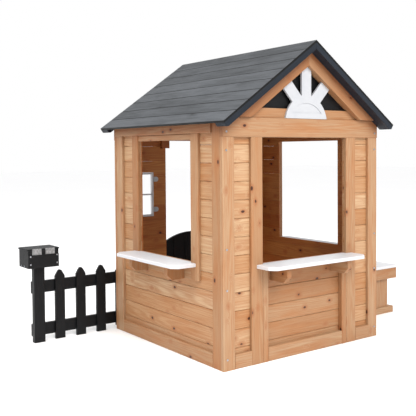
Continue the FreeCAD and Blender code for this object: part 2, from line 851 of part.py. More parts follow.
def hinge_total(sizes):
    """Length of a hinge's three knuckles."""
    return 3 * sizes[4] + 2 * KNUCKLE_GAP


def door_pin_line():
    """x and y of the half door's hinge axis: beside its edge and outside its ledges."""
    low, high = door_limits()
    outer = hinge_outer(DOOR_HINGE_SIZES)
    return high + outer + DOOR_GAP, door_face() + DOOR_BOARD + DOOR_LEDGE_BOARD + LEAF_BOARD - outer


def door_hinges():
    """Fixed leaves on hinge blocks, moving leaves on the ledges, and pins."""
    x, y = door_pin_line()
    total = hinge_total(DOOR_HINGE_SIZES)
    fixed, moving, pins = [], [], []
    for height in DOOR_HINGE_HEIGHTS:
        start = Vector(x, y, height - total / 2)
        hinge = Hinge(start, Vector(0, 0, 1), DOOR_HINGE_SIZES)
        fixed += hinge.leaf_solid((0, 2), Vector(1, 0, 0), Vector(0, 1, 0))
        moving += hinge.leaf_solid((1,), Vector(-1, 0, 0), Vector(0, 1, 0))
        pins.append(hinge.pin())
    return fixed, moving, pins


def hinge_blocks():
    """Packing blocks on the door stile that bring the fixed leaves out to the ledges' face."""
    x, y = door_pin_line()
    outer = hinge_outer(DOOR_HINGE_SIZES)
    total = hinge_total(DOOR_HINGE_SIZES)
    face = y + outer - LEAF_BOARD
    blocks = []
    for height in DOOR_HINGE_HEIGHTS:
        low = (x + outer + DOOR_GAP, HOUSE_DEPTH, height - total / 2 - EASE)
        high = (x + LEAF_REACH, face, height + total / 2 + EASE)
        blocks.append(box(low, high))
    return blocks


def stop_block():
    """A small block inside the door wall that laps over the doorway's upper corner."""
    low, high = door_hole()
    u0 = low - STOP_BLOCK_LAP
    z0 = BEAM_BOTTOM - STOP_BLOCK_HEIGHT
    inner = WALL_THICKNESS
    return [BACK.block(u0, u0 + STOP_BLOCK, z0, BEAM_BOTTOM, inner, inner + STOP_BLOCK_BOARD)]


# ---------------------------------------------------------------- roof
def roof_boards(side):
    """Eight boards from the eave to the ridge, each with a narrow V groove at its joints."""
    exposure = ROOF_LENGTH / ROOF_COURSES
    y0 = -ROOF_END_OVERHANG
    run = Vector(0, HOUSE_DEPTH + 2 * ROOF_END_OVERHANG, 0)
    boards = []
    for i in range(ROOF_COURSES):
        a = i * exposure + BOARD_GAP / 2
        b = (i + 1) * exposure - BOARD_GAP / 2
        foot = b
        if i == ROOF_COURSES - 1:
            foot = b - ROOF_BOARD * math.tan(SLOPE)
        outline = [
            (a + ROOF_GROOVE, 0),
            (b - ROOF_GROOVE, 0),
            (b, ROOF_GROOVE),
            (foot, ROOF_BOARD),
            (a, ROOF_BOARD),
            (a, ROOF_GROOVE),
        ]
        if i == ROOF_COURSES - 1:
            outline = [(a + ROOF_GROOVE, 0), (b, 0), (foot, ROOF_BOARD), (a, ROOF_BOARD), (a, ROOF_GROOVE)]
        boards.append(prism([slope_point(side, s, t, y0) for s, t in outline], run))
    return boards


def roof_batten(side, start, y0, width):
    """A flat batten under the boards, cut plumb at the ridge and level at its lower end."""
    low = ROOF_BOARD
    high = ROOF_BOARD + ROOF_BATTEN_DEPTH
    end = ROOF_LENGTH - BOARD_GAP
    cut = ROOF_BATTEN_END_CUT / math.tan(SLOPE)
    outline = [
        (start, low),
        (end - low * math.tan(SLOPE), low),
        (end - high * math.tan(SLOPE), high),
        (start + cut, high),
        (start, high - ROOF_BATTEN_END_CUT),
    ]
    points = [slope_point(side, s, t, y0) for s, t in outline]
    return prism(points, Vector(0, width, 0))


def rake_battens():
    """Battens under the gable ends of the roof, just clear of the two beams."""
    width = ROOF_END_OVERHANG - BEAM_PROUD - BOARD_GAP
    starts = (-ROOF_END_OVERHANG, HOUSE_DEPTH + ROOF_END_OVERHANG - width)
    return [roof_batten(side, 0, y0, width) for y0 in starts for side in (-1, 1)]


def inner_battens():
    middle = MIDDLE_Y - INNER_BATTEN_WIDTH / 2
    starts = (middle - INNER_BATTEN_SPACING / 2, middle + INNER_BATTEN_SPACING / 2)
    low = ROOF_SIDE_OVERHANG / math.cos(SLOPE) + INNER_BATTEN_START
    return [roof_batten(side, low, y0, INNER_BATTEN_WIDTH) for y0 in starts for side in (-1, 1)]


# ---------------------------------------------------------------- fence
def rail_front():
    """y of the fence rails' front face."""
    return HOUSE_DEPTH + PICKET_BOARD


def fence_post():
    outline = eased(POST_LEFT, POST_LEFT + POST_WIDTH, rail_front() - POST_DEPTH, rail_front())
    return [prism([Vector(x, y, 0) for x, y in outline], Vector(0, 0, MAILBOX_FLOOR))]


def picket(right):
    """A board with a pointed top and a rounded tip, whose right edge is at that x."""
    left = right - PICKET_WIDTH
    middle = (left + right) / 2
    shoulder = PICKET_HEIGHT - PICKET_SHOULDER
    centre = Vector(middle, HOUSE_DEPTH, PICKET_HEIGHT - PICKET_TIP_RADIUS)
    run = Vector(right, HOUSE_DEPTH, shoulder) - centre
    angle = math.atan2(run.z, run.x) + math.acos(PICKET_TIP_RADIUS / run.Length)
    touch = Vector(math.cos(angle), 0, math.sin(angle)) * PICKET_TIP_RADIUS
    mirror = Vector(-touch.x, 0, touch.z)
    foot = [Vector(x, HOUSE_DEPTH, z) for x, z in ((left, shoulder), (left, 0), (right, 0), (right, shoulder))]
    sides = Part.makePolygon([centre + mirror] + foot + [centre + touch])
    tip = Part.Arc(centre + touch, centre + Vector(0, 0, PICKET_TIP_RADIUS), centre + mirror)
    wire = Part.Wire(sides.Edges + [tip.toShape()])
    return Part.Face(wire).extrude(Vector(0, PICKET_BOARD, 0))


def pickets():
    return [picket(-PICKET_FIRST_GAP - i * PICKET_PITCH) for i in range(PICKET_COUNT)]


def fence_rails():
    """Rails behind the pickets, from the post to the far edge of the cleat."""
    rails = []
    for bottom in FENCE_RAIL_BOTTOMS:
        y0 = rail_front()
        outline = eased(bottom, bottom + FENCE_RAIL_HEIGHT, y0, y0 + FENCE_RAIL_BOARD, EASE / 2)
        points = [Vector(POST_LEFT, y, z) for z, y in outline]
        rails.append(prism(points, Vector(CLEAT_WIDTH - POST_LEFT, 0, 0)))
    return rails


def fence_cleat():
    """The upright on the corner stile that the rails are screwed to."""
    low = FENCE_RAIL_BOTTOMS[0] - CLEAT_CLEARANCE
    high = FENCE_RAIL_BOTTOMS[-1] + FENCE_RAIL_HEIGHT + CLEAT_CLEARANCE
    return [box((EASE, HOUSE_DEPTH, low), (CLEAT_WIDTH, rail_front(), high))]


# ---------------------------------------------------------------- mailbox
def mailbox_limits():
    """x0, x1, y0, y1 of the mailbox's outside."""
    x0 = POST_LEFT - MAILBOX_SIDE_OFFSET
    y1 = rail_front() + MAILBOX_BEHIND_POST
    return x0, x0 + MAILBOX_WIDTH, y1 - MAILBOX_DEPTH, y1


def mailbox_walls():
    """Floor, two ends, front and back, butted together."""
    x0, x1, y0, y1 = mailbox_limits()
    z0 = MAILBOX_FLOOR
    z1 = MAILBOX_FLOOR + MAILBOX_HEIGHT
    t = MAILBOX_BOARD
    floor = box((x0, y0, z0), (x1, y1, z0 + t))
    left_end = box((x0, y0, z0 + t), (x0 + t, y1, z1))
    right_end = box((x1 - t, y0, z0 + t), (x1, y1, z1))
    front = box((x0 + t, y0, z0 + t), (x1 - t, y0 + t, z1))
    back = box((x0 + t, y1 - t, z0 + t), (x1 - t, y1, z1))
    return [floor, left_end, right_end, front, back]


def lid_bottom():
    return MAILBOX_FLOOR + MAILBOX_HEIGHT + LID_GAP


def mailbox_lid():
    """A board that overhangs both ends and lies behind the labels."""
    x0, x1, y0, y1 = mailbox_limits()
    z0 = lid_bottom()
    outline = [
        (x0 - LID_LIP, z0),
        (x1 + LID_LIP, z0),
        (x1 + LID_LIP, z0 + LID_BOARD - EASE),
        (x1 + LID_LIP - EASE, z0 + LID_BOARD),
        (x0 - LID_LIP + EASE, z0 + LID_BOARD),
        (x0 - LID_LIP, z0 + LID_BOARD - EASE),
    ]
    front = y0 + LID_SETBACK
    return [prism([Vector(x, front, z) for x, z in outline], Vector(0, y1 - front, 0))]


def lid_pin_line():
    """y and z of the lid's hinge axis, behind the mailbox at the joint under the lid."""
    x0, x1, y0, y1 = mailbox_limits()
    return y1 + hinge_outer(LID_HINGE_SIZES), lid_bottom() - LID_GAP / 2


def lid_hinges():
    """Leaves on the back of the mailbox and of the lid, and their pins."""
    x0, x1, y0, y1 = mailbox_limits()
    y, z = lid_pin_line()
    total = hinge_total(LID_HINGE_SIZES)
    fixed, moving, pins = [], [], []
    for middle in (x0 + LID_HINGE_INSET, x1 - LID_HINGE_INSET):
        start = Vector(middle - total / 2, y, z)
        hinge = Hinge(start, Vector(1, 0, 0), LID_HINGE_SIZES)
        fixed += hinge.leaf_solid((0, 2), Vector(0, 0, -1), Vector(0, -1, 0))
        moving += lid_leaf(hinge)
        pins.append(hinge.pin())
    return fixed, moving, pins


def lid_leaf(hinge):
    """The lid's leaf stands up behind the lid and ends at its top."""
    strap = hinge.strap(1, Vector(0, 0, 1), Vector(0, -1, 0))
    top = lid_bottom() + LID_BOARD
    kept = strap.common(box((-FAR, -FAR, 0), (FAR, FAR, top)))
    return [hinge.knuckle(1).fuse(kept)]


def front_plate():
    x0, x1, y0, y1 = mailbox_limits()
    z0 = MAILBOX_FLOOR
    outline = eased(z0, z0 + FRONT_PLATE_HEIGHT, y0 - FRONT_PLATE_BOARD, y0, EASE / 2)
    return [prism([Vector(x0, y, z) for z, y in outline], Vector(x1 - x0, 0, 0))]


def labels():
    """Two small plates with level ribs, from the front plate up over the lid's front edge."""
    x0, x1, y0, y1 = mailbox_limits()
    z0 = MAILBOX_FLOOR + FRONT_PLATE_HEIGHT
    gap = (MAILBOX_WIDTH - 2 * LABEL_WIDTH) / 3
    pitch = LABEL_HEIGHT / LABEL_RIBS
    plates = []
    for i in range(2):
        left = x0 + gap + i * (LABEL_WIDTH + gap)
        plate = box((left, y0 - LABEL_BOARD / 2, z0), (left + LABEL_WIDTH, y0, z0 + LABEL_HEIGHT))
        for k in range(LABEL_RIBS):
            low = z0 + (k + 0.5) * pitch - RIB_HEIGHT / 2
            plate = plate.fuse(box((left, y0 - LABEL_BOARD, low), (left + LABEL_WIDTH, y0, low + RIB_HEIGHT)))
        plates.append(plate.removeSplitter())
    return plates


def mailbox_screws():
    """Screw heads at the corners of the front plate and low on the left end."""
    x0, x1, y0, y1 = mailbox_limits()
    face = Wall(Vector(0, y0 - FRONT_PLATE_BOARD, 0), Vector(1, 0, 0), Vector(0, 1, 0))
    end = Wall(Vector(x0, 0, 0), Vector(0, 1, 0), Vector(1, 0, 0))
    z0 = MAILBOX_FLOOR
    heads = []
    for x in (x0 + PLATE_SCREW_INSET, x1 - PLATE_SCREW_INSET):
        for height in PLATE_SCREW_HEIGHTS:
            heads.append(face.screw(x, 0, z0 + height, SMALL_SCREW_RADIUS))
    for depth in END_SCREW_DEPTHS:
        heads.append(end.screw(y1 - depth, 0, z0 + END_SCREW_HEIGHT, SMALL_SCREW_RADIUS))
    return heads


# ---------------------------------------------------------------- bench
def bench_ends():
    """The low ends in y of the two trestles' boards."""
    return BENCH_FRONT, BENCH_FRONT + BENCH_LENGTH


def bench_seat():
    half = SEAT_WIDTH / 2
    y0, y1 = bench_ends()
    outline = eased(BENCH_CENTRE - half, BENCH_CENTRE + half, BENCH_TOP, BENCH_TOP - SEAT_BOARD)
    points = [Vector(x, y0 - SEAT_LENGTH_LIP, z) for x, z in outline]
    return [prism(points, Vector(0, y1 - y0 + 2 * SEAT_LENGTH_LIP, 0))]


def bench_aprons():
    half = APRON_LENGTH / 2
    y0, y1 = bench_ends()
    top = BENCH_TOP - SEAT_BOARD
    low = top - APRON_HEIGHT
    x0 = BENCH_CENTRE - half
    x1 = BENCH_CENTRE + half
    return [box((x0, y0, low), (x1, y0 + APRON_BOARD, top)), box((x0, y1 - APRON_BOARD, low), (x1, y1, top))]


def leg_places():
    """The y stretches of the two leg panels, just inside the aprons."""
    y0, y1 = bench_ends()
    return [
        (y0 + APRON_BOARD, y0 + APRON_BOARD + LEG_BOARD),
        (y1 - APRON_BOARD - LEG_BOARD, y1 - APRON_BOARD),
    ]


def bench_legs():
    """Leg panels that stand on the feet and carry the seat, and the stretcher between them."""
    half = LEG_WIDTH / 2
    top = BENCH_TOP - SEAT_BOARD
    panels = []
    for y0, y1 in leg_places():
        panels.append(box((BENCH_CENTRE - half, y0, FOOT_HEIGHT), (BENCH_CENTRE + half, y1, top)))
    inner = leg_places()
    low = top - STRETCHER_HEIGHT
    x0 = BENCH_CENTRE - STRETCHER_BOARD / 2
    stretcher = box((x0, inner[0][1], low), (x0 + STRETCHER_BOARD, inner[1][0], top))
    return panels + [stretcher]


def bench_feet():
    half = FOOT_LENGTH / 2
    feet = []
    for y0, y1 in leg_places():
        middle = (y0 + y1) / 2
        outline = eased(middle - FOOT_BOARD / 2, middle + FOOT_BOARD / 2, FOOT_HEIGHT, 0)
        points = [Vector(BENCH_CENTRE - half, y, z) for y, z in outline]
        feet.append(prism(points, Vector(FOOT_LENGTH, 0, 0)))
    return feet


# ---------------------------------------------------------------- screws of the house
def hidden_by_cleat(wall, u, z):
    """True where the fence's cleat would cover a screw of the door wall."""
    return wall is BACK and u < CLEAT_WIDTH and z < FENCE_RAIL_BOTTOMS[-1] + FENCE_RAIL_HEIGHT + CLEAT_CLEARANCE


def house_screws():
    """Screw heads on the corner stiles and the beams, and on the small window's tabs."""
    heads = []
    for wall in (FRONT, BACK):
        for u in (CORNER_SCREW_INSET, HOUSE_WIDTH - CORNER_SCREW_INSET):
            for z in CORNER_SCREW_HEIGHTS:
                if not hidden_by_cleat(wall, u, z):
                    heads.append(wall.screw(u, 0, z, SCREW_RADIUS))
            heads.append(wall.screw(u, -BEAM_PROUD, BEAM_BOTTOM + BEAM_SCREW_RISE, SCREW_RADIUS))
    inside = Wall(Vector(0, HOUSE_DEPTH - WALL_THICKNESS - TAB_BOARD, 0), Vector(1, 0, 0), Vector(0, 1, 0))
    for u, z in tab_places():
        heads.append(inside.screw(u + TAB_LENGTH / 2, 0, z, SMALL_SCREW_RADIUS))
    return heads


# ---------------------------------------------------------------- assembly
def make_nodes():
    """Every node's name and the solids it holds."""
    fixed_leaves, door_leaves, door_pins = door_hinges()
    box_leaves, lid_leaves, lid_pins = lid_hinges()
    return {
        "front_corner_stiles": corner_stiles(FRONT),
        "front_window_stiles": opening_stiles(FRONT, FRONT_OPENING, WINDOW_STILE),
        "front_siding": gable_siding(FRONT),
        "front_bottom_rails": front_bottom_rails(),
        "front_beam": gable_beam(FRONT),
        "front_rafters": gable_rafters(FRONT),
        "sunburst": sunburst(),
        "counter_battens": counter_battens(),
        "counter_siding": counter_siding(),
        "front_shelf": front_shelf(),
        "front_shelf_brackets": front_brackets(),
        "back_corner_stiles": corner_stiles(BACK),
        "door_stiles": opening_stiles(BACK, DOORWAY, DOOR_STILE),
        "back_siding": gable_siding(BACK),
        "back_bottom_rails": gable_bottom_rails(BACK, DOORWAY, DOOR_STILE),
        "back_beam": gable_beam(BACK),
        "back_rafters": gable_rafters(BACK),
        "gable_trims": gable_trim(FRONT) + gable_trim(BACK),
        "gable_panels": gable_panel(FRONT) + gable_panel(BACK),
        "doorway_block": stop_block(),
        "left_siding": side_siding(LEFT),
        "right_siding": side_siding(RIGHT),
        "side_stiles": side_stiles(),
        "side_bottom_rails": side_bottom_rails(),
        "side_window_trims": side_window_trims(),
        "side_window_headers": side_headers(),
        "side_sill_rails": side_sill_rails(),
        "eave_friezes": eave_friezes(),
        "left_shelf": left_shelf(),
        "left_shelf_brackets": left_brackets(),
        "right_sill": right_sill(),
        "small_window_frame": small_window(),
        "small_window_tabs": window_tabs(),
        "house_screws": house_screws(),
        "half_door_boards": door_boards(),
        "half_door_ledges": door_ledges(),
        "door_hinge_leaves": door_leaves,
        "door_frame_leaves": fixed_leaves,
        "door_hinge_pins": door_pins,
        "door_hinge_blocks": hinge_blocks(),
        "roof_boards_left": roof_boards(-1),
        "roof_boards_right": roof_boards(1),
        "roof_rake_battens": rake_battens(),
        "roof_inner_battens": inner_battens(),
        "fence_post": fence_post(),
        "fence_pickets": pickets(),
        "fence_rails": fence_rails(),
        "fence_cleat": fence_cleat(),
        "mailbox_walls": mailbox_walls(),
        "mailbox_lid": mailbox_lid(),
        "mailbox_front_plate": front_plate(),
        "mailbox_labels": labels(),
        "mailbox_screws": mailbox_screws(),
        "mailbox_box_leaves": box_leaves,
        "mailbox_lid_leaves": lid_leaves,
        "mailbox_hinge_pins": lid_pins,
        "bench_seat": bench_seat(),
        "bench_aprons": bench_aprons(),
        "bench_legs": bench_legs(),
        "bench_feet": bench_feet(),
    }


def origin_of(nodes):
    """The middle of the underside of the box round every node."""
    whole = FreeCAD.BoundBox()
    for shapes in nodes.values():
        for shape in shapes:
            whole.add(shape.optimalBoundingBox(False, False))
    return Vector(whole.Center.x, whole.Center.y, whole.ZMin)


def main():
    nodes = make_nodes()
    shift = origin_of(nodes) * -1
    os.makedirs("parts", exist_ok=True)
    for name, shapes in nodes.items():
        shape = shapes[0] if len(shapes) == 1 else Part.makeCompound(shapes)
        shape.translated(shift).exportStep("parts/" + name + ".step")
    return nodes, shift


MODEL, SHIFT = main()
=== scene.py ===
import json
import math

import bpy
from mathutils import Matrix, Vector


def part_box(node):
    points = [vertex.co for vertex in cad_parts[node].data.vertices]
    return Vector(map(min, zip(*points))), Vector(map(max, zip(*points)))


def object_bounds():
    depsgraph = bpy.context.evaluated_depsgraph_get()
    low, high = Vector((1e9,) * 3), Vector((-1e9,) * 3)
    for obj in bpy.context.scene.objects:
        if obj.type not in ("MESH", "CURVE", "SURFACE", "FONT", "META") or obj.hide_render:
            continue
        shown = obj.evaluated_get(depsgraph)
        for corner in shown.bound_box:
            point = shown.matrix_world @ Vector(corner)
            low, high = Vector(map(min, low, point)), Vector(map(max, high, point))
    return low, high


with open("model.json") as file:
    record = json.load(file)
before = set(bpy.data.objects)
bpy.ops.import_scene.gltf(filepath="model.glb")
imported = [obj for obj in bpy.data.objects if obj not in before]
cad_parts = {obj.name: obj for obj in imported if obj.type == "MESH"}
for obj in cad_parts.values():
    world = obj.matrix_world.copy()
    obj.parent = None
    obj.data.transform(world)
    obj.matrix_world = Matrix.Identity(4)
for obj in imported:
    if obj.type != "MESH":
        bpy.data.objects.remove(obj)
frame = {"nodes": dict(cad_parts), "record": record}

CAD_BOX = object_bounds()

# ------------------------------------------------------------------ places on the frame, in metres
HOUSE_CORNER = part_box("front_corner_stiles")[0]  # the foot of the house's near corner
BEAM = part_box("front_beam")
RIDGE_X = (BEAM[0].x + BEAM[1].x) / 2
RIDGE_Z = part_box("roof_boards_left")[1].z
ROOF_PITCH = math.radians(35.0)
SIDING_SKIN = 0.006  # how far into the siding its outer colour reaches before the painted interior shade begins
SKIN = Vector((SIDING_SKIN, SIDING_SKIN))
FRONT_LEFT = Vector((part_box("left_siding")[0].x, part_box("counter_siding")[0].y))
BACK_RIGHT = Vector((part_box("right_siding")[1].x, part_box("back_siding")[1].y))
CABIN = (FRONT_LEFT + SKIN, BACK_RIGHT - SKIN)  # opposite corners of the room between the walls' skins, where the interior shade is painted

# ------------------------------------------------------------------ camera, lamps and floor
CAMERA_OFFSET = Vector((-1.810, -2.343, 0.947))  # from the house's near corner
CAMERA_YAW = math.radians(36.01)  # from +Y towards +X
CAMERA_PITCH = math.radians(-1.80)
CAMERA_ROLL = math.radians(-0.43)
CAMERA_LENS = 60.25  # millimetres
CAMERA_SENSOR = 36.0  # millimetres
CAMERA_SHIFT = (0.0138, -0.0825)

WORLD_STRENGTH = 1.0
LIT_POINT = Vector((0.5, 0.45, 0.6))  # the middle of the house, from its near corner
PANELS = (  # name, place from the lit point, size, watts, colour
    ("key_light", Vector((-0.7, -4.0, 3.2)), (2.2, 2.0), 210.0, (1.0, 0.985, 0.96)),
    ("side_light", Vector((-3.4, -0.9, 3.3)), (1.4, 1.4), 90.0, (1.0, 0.99, 0.97)),
    ("top_light", Vector((-0.8, 0.2, 4.4)), (3.0, 3.0), 60.0, (1.0, 1.0, 1.0)),
)
# How much brighter a surface shows than its own colour.
LIGHT_ON_FRONT = 1.9
LIGHT_ON_SHELVES = 1.6
FLOOR_SIZE = 60.0
FLOOR_DROP = 0.0005  # keeps the floor clear of the feet of the boards

# ------------------------------------------------------------------ wood
EDGE_RADIUS = 0.0009
EDGE_ANGLE = math.radians(30)  # blunter edges than this stay as they are
WELD_DISTANCE = 0.00002
BOARD_CHANCE = "board_chance"  # the attribute that holds each board's random number
BOARD_SHIFT_ALONG = 17.0  # how far apart two boards may lie in one field of wood grain
BOARD_SHIFT_ACROSS = 5.0

SIDING_LIGHT = (1.1, 1.12, 1.06, 1.0)  # tints on the tones of the walls' boards
FRAME_LIGHT = (0.86, 0.83, 0.76, 1.0)  # and of the frames' boards
EAVE_SHADE_DROP = 0.16  # how far below the roof's plane the painted eave shade reaches

# Knots: cells per metre across the grain, and the share of the cells that hold one.
CEDAR_KNOTS = (17.0, 0.62)
STAINED_KNOTS = (9.0, 0.35)
PAINTED_KNOTS = (8.0, 0.2)
KNOT_SQUEEZE = 0.62  # below 1 a knot is longer along the grain than across it
RING_SCALE = 13.0  # of the noise whose level lines are the growth rings
RING_COUNT = 190.0  # radians of rings over the noise's whole range
RING_BEND = 0.16  # how far the rings bend round a knot
RING_SQUEEZE = 0.03  # below 1 the rings are drawn out along the grain
FIBRE_SCALE = 520.0
FIBRE_SQUEEZE = 0.02  # and so are the fibres

# The direction in which the grain of each node's boards runs.
ALONG_X = (
    "front_siding",
    "back_siding",
    "counter_siding",
    "front_bottom_rails",
    "back_bottom_rails",
    "front_beam",
    "back_beam",
    "gable_trims",
    "gable_panels",
    "front_shelf",
    "half_door_ledges",
    "fence_rails",
    "mailbox_walls",
    "mailbox_lid",
    "mailbox_front_plate",
    "bench_aprons",
    "bench_feet",
)
ALONG_Y = (
    "left_siding",
    "right_siding",
    "side_bottom_rails",
    "side_window_headers",
    "side_sill_rails",
    "eave_friezes",
    "left_shelf",
    "right_sill",
    "front_shelf_brackets",
    "bench_seat",
    "roof_boards_left",
    "roof_boards_right",
)
ON_SLOPE = ("front_rafters", "back_rafters", "roof_rake_battens", "roof_inner_battens")
# Nodes whose look isn't the one that their material slot names.
LOOKS = {
    "front_siding": "cedar_siding",
    "back_siding": "cedar_siding",
    "left_siding": "cedar_siding",
    "right_siding": "cedar_siding",
    # The rake battens take the black stain with a painted bluish sheen.
    "roof_rake_battens": "rake_stain",
    "roof_inner_battens": "rake_stain",
}
# The slots whose boards get a number and soft edges.
WOODS = ("cedar", "black_stain", "roof_stain", "white_paint")


def rgb(red, green, blue, light=LIGHT_ON_FRONT):
    """A surface's linear colour, from the 0 to 255 values that it shows under the studio's light."""
    values = []
    for channel in (red, green, blue):
        share = channel / 255
        linear = share / 12.92 if share <= 0.04045 else ((share + 0.055) / 1.055) ** 2.4
        values.append(linear / light)
    return (*values, 1.0)


class Net:
    """A material's nodes, with a short method for each kind that is used often."""

    def __init__(self, name):
        self.material = bpy.data.materials.new(name)
        self.material.use_nodes = True
        self.tree = self.material.node_tree
        self.tree.nodes.clear()

    def feed(self, socket, value):
        if isinstance(value, bpy.types.NodeSocket):
            self.tree.links.new(value, socket)
        else:
            socket.default_value = value

    def node(self, kind, values=None, **settings):
        made = self.tree.nodes.new("ShaderNode" + kind)
        for key, value in settings.items():
            setattr(made, key, value)
        for key, value in (values or {}).items():
            self.feed(made.inputs[key], value)
        return made

    def place(self):
        """The place of a point on its object, in metres."""
        return self.node("TexCoord").outputs["Object"]

    def math(self, operation, *terms):
        return self.node("Math", dict(enumerate(terms)), operation=operation).outputs[0]

    def spread(self, value, low, high, new_low=0.0, new_high=1.0):
        """value moved from the range low..high to new_low..new_high, smoothly and clamped."""
        values = {"Value": value, "From Min": low, "From Max": high, "To Min": new_low, "To Max": new_high}
        return self.node("MapRange", values, interpolation_type="SMOOTHSTEP").outputs[0]

    def mix(self, factor, first, second, blend="MIX"):
        made = self.node("Mix", data_type="RGBA", blend_type=blend)
        self.feed(made.inputs[0], factor)
        self.feed(made.inputs[6], first)
        self.feed(made.inputs[7], second)
        return made.outputs[2]

    def noise(self, place, scale, detail=2.0, roughness=0.5):
        values = {"Vector": place, "Scale": scale, "Detail": detail, "Roughness": roughness}
        return self.node("TexNoise", values).outputs["Fac"]

    def vector(self, x, y, z):
        return self.node("CombineXYZ", {0: x, 1: y, 2: z}).outputs[0]

    def split(self, vector):
        return self.node("SeparateXYZ", {0: vector}).outputs

    def bump(self, height, distance, strength=1.0):
        return self.node("Bump", {"Height": height, "Distance": distance, "Strength": strength}).outputs[0]

    def finish(self, color, roughness, normal=None, **constants):
        shader = self.node("BsdfPrincipled", {"Base Color": color, "Roughness": roughness})
        if normal is not None:
            self.feed(shader.inputs["Normal"], normal)
        for key, value in constants.items():
            shader.inputs[key.replace("_", " ")].default_value = value
        output = self.node("OutputMaterial")
        self.tree.links.new(shader.outputs[0], output.inputs[0])
        return self.material


def board_place(net, grain):
    """(along, across, through, chance): a place on a board and the board's own random number.

    grain is the axis that the boards run along, or SLOPE for the boards at the roof's pitch.
    """
    x, y, z = net.split(net.place())
    chance = net.node("Attribute", attribute_name=BOARD_CHANCE).outputs["Fac"]
    if grain == "X":
        along, across, through = x, z, y
    elif grain == "Y":
        along, across, through = y, z, x
    elif grain == "Z":
        along, across, through = z, x, y
    else:
        side = net.math("ABSOLUTE", net.math("SUBTRACT", x, RIDGE_X))
        run = net.math("MULTIPLY", side, math.cos(ROOF_PITCH))
        along = net.math("SUBTRACT", run, net.math("MULTIPLY", z, math.sin(ROOF_PITCH)))
        rise = net.math("MULTIPLY", side, math.sin(ROOF_PITCH))
        across = net.math("ADD", rise, net.math("MULTIPLY", z, math.cos(ROOF_PITCH)))
        through = y
    along = net.math("ADD", along, net.math("MULTIPLY", chance, BOARD_SHIFT_ALONG))
    across = net.math("ADD", across, net.math("MULTIPLY", chance, BOARD_SHIFT_ACROSS))
    return along, across, through, chance


def end_grain(net, grain):
    """1 on the sawn ends of a board and 0 on its faces and edges."""
    if grain == "SLOPE":  # left out, because the cuts of sloping boards follow no one axis
        return 0.0
    normal = net.split(net.node("TexCoord").outputs["Normal"])
    return net.spread(net.math("ABSOLUTE", normal["XYZ".index(grain)]), 0.75, 0.9)


def knots(net, along, across, through, density, keep):
    """(core, halo): knots, a little longer along the grain, kept in a share of the places."""
    place = net.vector(net.math("MULTIPLY", along, KNOT_SQUEEZE), across, through)
    cells = net.node("TexVoronoi", {"Vector": place, "Scale": density, "Randomness": 1.0})
    distance = cells.outputs["Distance"]
    chance = net.split(cells.outputs["Color"])[0]
    kept = net.math("LESS_THAN", chance, keep)
    wobble = net.math("MULTIPLY", net.math("SUBTRACT", net.noise(place, density * 8.0), 0.5), 0.08)
    distance = net.math("ADD", distance, wobble)
    core = net.math("MULTIPLY", kept, net.spread(distance, 0.125, 0.075))
    halo = net.math("MULTIPLY", kept, net.spread(distance, 0.34, 0.08))
    return core, halo


def grain_lines(net, along, across, through, halo):
    """(bands, fibres): broad growth rings that bend round the knots, and fine fibres."""
    slow = net.vector(net.math("MULTIPLY", along, RING_SQUEEZE), across, through)
    field = net.noise(slow, RING_SCALE, 1.2, 0.4)
    field = net.math("ADD", field, net.math("MULTIPLY", halo, RING_BEND))
    rings = net.math("SINE", net.math("MULTIPLY", field, RING_COUNT))
    bands = net.spread(rings, -0.9, 1.0)
    fine = net.vector(net.math("MULTIPLY", along, FIBRE_SQUEEZE), across, through)
    fibres = net.noise(fine, FIBRE_SCALE, 2.5, 0.6)
    return bands, fibres


def board_tones(net, chance):
    """The tone of a whole board, from pale to orange brown."""
    made = net.node("ValToRGB", {"Fac": chance})
    ramp = made.color_ramp
    ramp.elements[0].color = rgb(240, 202, 164)
    ramp.elements[1].color = rgb(228, 184, 144)
    ramp.elements.new(0.3).color = rgb(226, 178, 136)
    ramp.elements.new(0.55).color = rgb(212, 156, 110)
    ramp.elements.new(0.8).color = rgb(236, 196, 158)
    return made.outputs[0]


def painted_interior_shade(net):
    """1 on the inner faces of the walls, where a warm darker tone is painted in as shade, and 0 outside."""
    x, y, _ = net.split(net.place())
    inside = 1.0
    for value, low, high in ((x, CABIN[0].x, CABIN[1].x), (y, CABIN[0].y, CABIN[1].y)):
        inside = net.math("MULTIPLY", inside, net.math("GREATER_THAN", value, low))
        inside = net.math("MULTIPLY", inside, net.math("LESS_THAN", value, high))
    return inside


def painted_eave_shade(net):
    """1 close below the roof's plane, fading to 0 lower down: where shade under the eaves is painted in."""
    x, _, z = net.split(net.place())
    side = net.math("ABSOLUTE", net.math("SUBTRACT", x, RIDGE_X))
    plane = net.math("SUBTRACT", RIDGE_Z, net.math("MULTIPLY", side, math.tan(ROOF_PITCH)))
    return net.spread(net.math("SUBTRACT", plane, z), EAVE_SHADE_DROP, 0.0)


